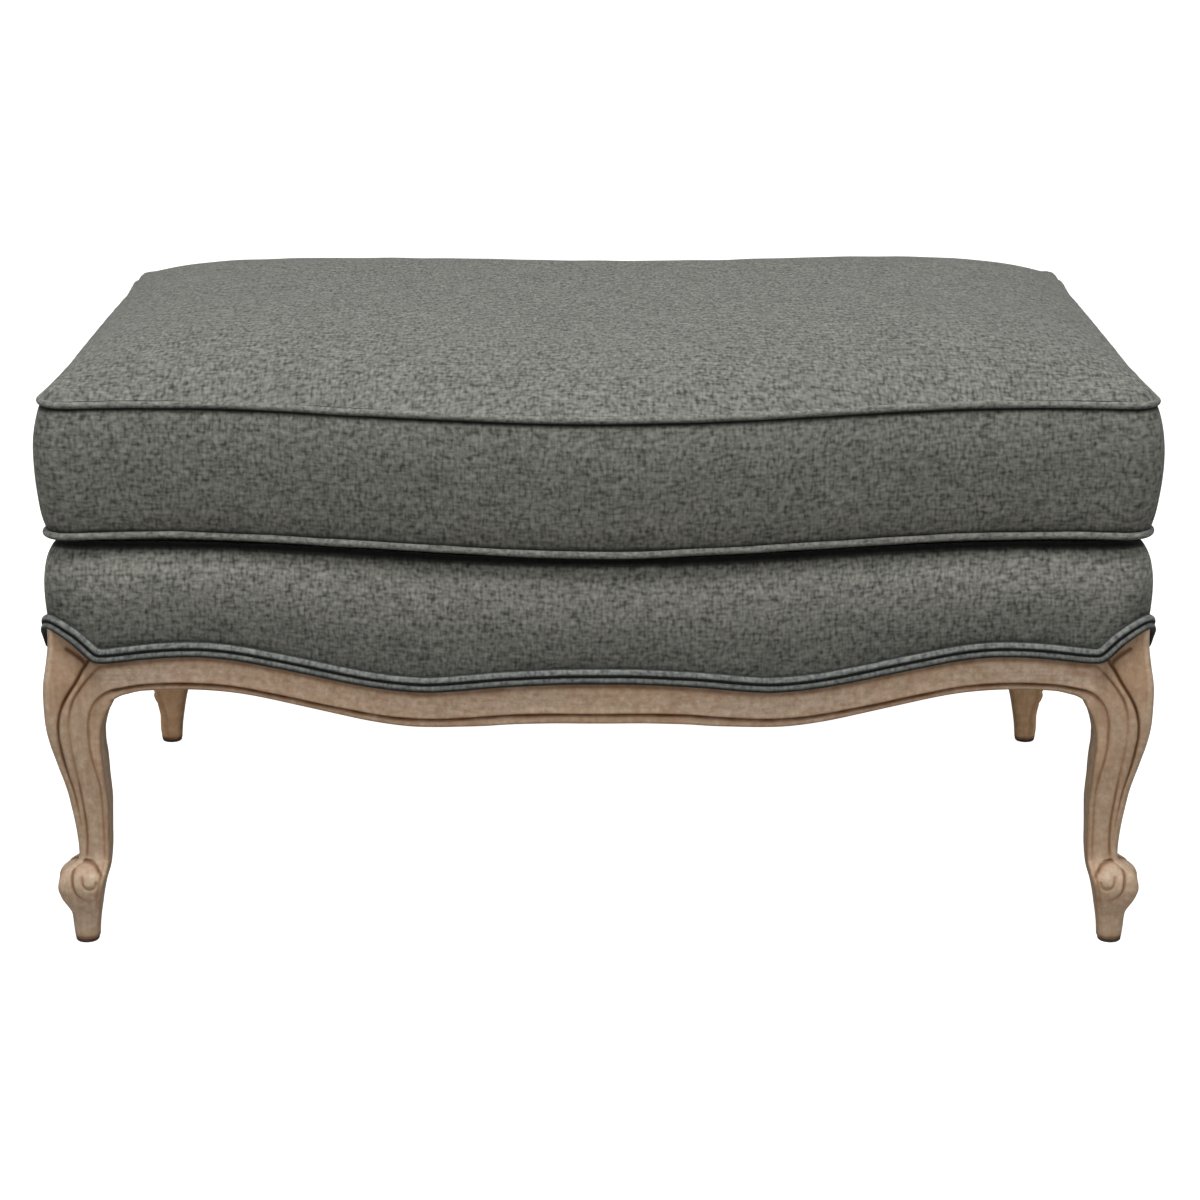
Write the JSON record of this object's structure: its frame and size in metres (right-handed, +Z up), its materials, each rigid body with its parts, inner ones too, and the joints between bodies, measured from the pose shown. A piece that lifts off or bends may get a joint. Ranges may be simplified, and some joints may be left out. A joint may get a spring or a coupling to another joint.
{
  "type": "ottoman",
  "caption": "Upholstered footstool with a loose box cushion, padded serpentine base, double welt trim and carved cabriole legs.",
  "frame": {"origin": "middle of the overall footprint, on the floor", "axes": "+X to the sitter's right seen from the front, +Y to the rear, +Z up; the bowed front faces -Y"},
  "size_m": [0.8644, 0.6167, 0.4796],
  "materials": {
    "weathered_wood": "weathered, brushed, brown glaze in the grooves",
    "glide_metal": "dark bronze paint",
    "hidden_wood": "sawn beech",
    "screw_steel": "zinc plated",
    "tack_steel": "blued steel",
    "jute_webbing": "woven jute",
    "burlap_cloth": "coarse plain weave",
    "black_cambric": "thin non-woven",
    "foam": "cut polyurethane foam",
    "fibre_padding": "bonded polyester fibre",
    "cover_fabric": "heathered linen weave",
    "welt_fabric": "heathered linen weave",
    "zip_tape_fabric": "woven polyester tape",
    "zip_metal": "nickel plated"
  },
  "bodies": {
    "frame": {"leg_front_left": "weathered_wood", "leg_front_right": "weathered_wood", "leg_rear_left": "weathered_wood", "leg_rear_right": "weathered_wood", "glide_front_left": "glide_metal", "glide_front_right": "glide_metal", "glide_rear_left": "glide_metal", "glide_rear_right": "glide_metal", "rail_front": "weathered_wood", "rail_rear": "weathered_wood", "rail_left": "weathered_wood", "rail_right": "weathered_wood", "frame_dowels": "hidden_wood", "corner_block_front_left": "hidden_wood", "corner_block_front_right": "hidden_wood", "corner_block_rear_left": "hidden_wood", "corner_block_rear_right": "hidden_wood", "corner_block_screws": "screw_steel", "webbing_long_1": "jute_webbing", "webbing_long_2": "jute_webbing", "webbing_long_3": "jute_webbing", "webbing_cross_1": "jute_webbing", "webbing_cross_2": "jute_webbing", "webbing_cross_3": "jute_webbing", "webbing_cross_4": "jute_webbing", "webbing_cross_5": "jute_webbing", "webbing_cross_6": "jute_webbing", "webbing_tacks": "tack_steel", "burlap": "burlap_cloth", "deck_foam_pad": "foam", "edge_padding": "fibre_padding", "base_band": "cover_fabric", "deck_cloth": "cover_fabric", "double_welt": "welt_fabric", "dust_cover": "black_cambric", "dust_cover_tacks": "tack_steel"},
    "cushion": {"cushion_foam_core": "foam", "cushion_wrap_top": "fibre_padding", "cushion_wrap_bottom": "fibre_padding", "cushion_top_panel": "cover_fabric", "cushion_bottom_panel": "cover_fabric", "cushion_boxing": "cover_fabric", "cushion_zip_band_upper": "cover_fabric", "cushion_zip_band_lower": "cover_fabric", "cushion_top_welt": "cover_fabric", "cushion_bottom_welt": "cover_fabric", "zip_tape_upper": "zip_tape_fabric", "zip_tape_lower": "zip_tape_fabric"},
    "zip_slider": {"zip_slider": "zip_metal"},
    "zip_pull": {"zip_pull": "zip_metal"}
  },
  "joints": [
    {"name": "cushion_lift", "type": "slide", "parent": "frame", "child": "cushion", "axis": [0, 0, 1], "range_m": [0, 0.25]},
    {"name": "zip_run", "type": "slide", "parent": "cushion", "child": "zip_slider", "axis": [1, 0, 0], "range_m": [-0.518, 0]},
    {"name": "zip_pull_swing", "type": "hinge", "parent": "zip_slider", "child": "zip_pull", "pos_m": [0.259, 0.30555, 0.3888], "axis": [1, 0, 0], "range_deg": [0, 160]}
  ]
}
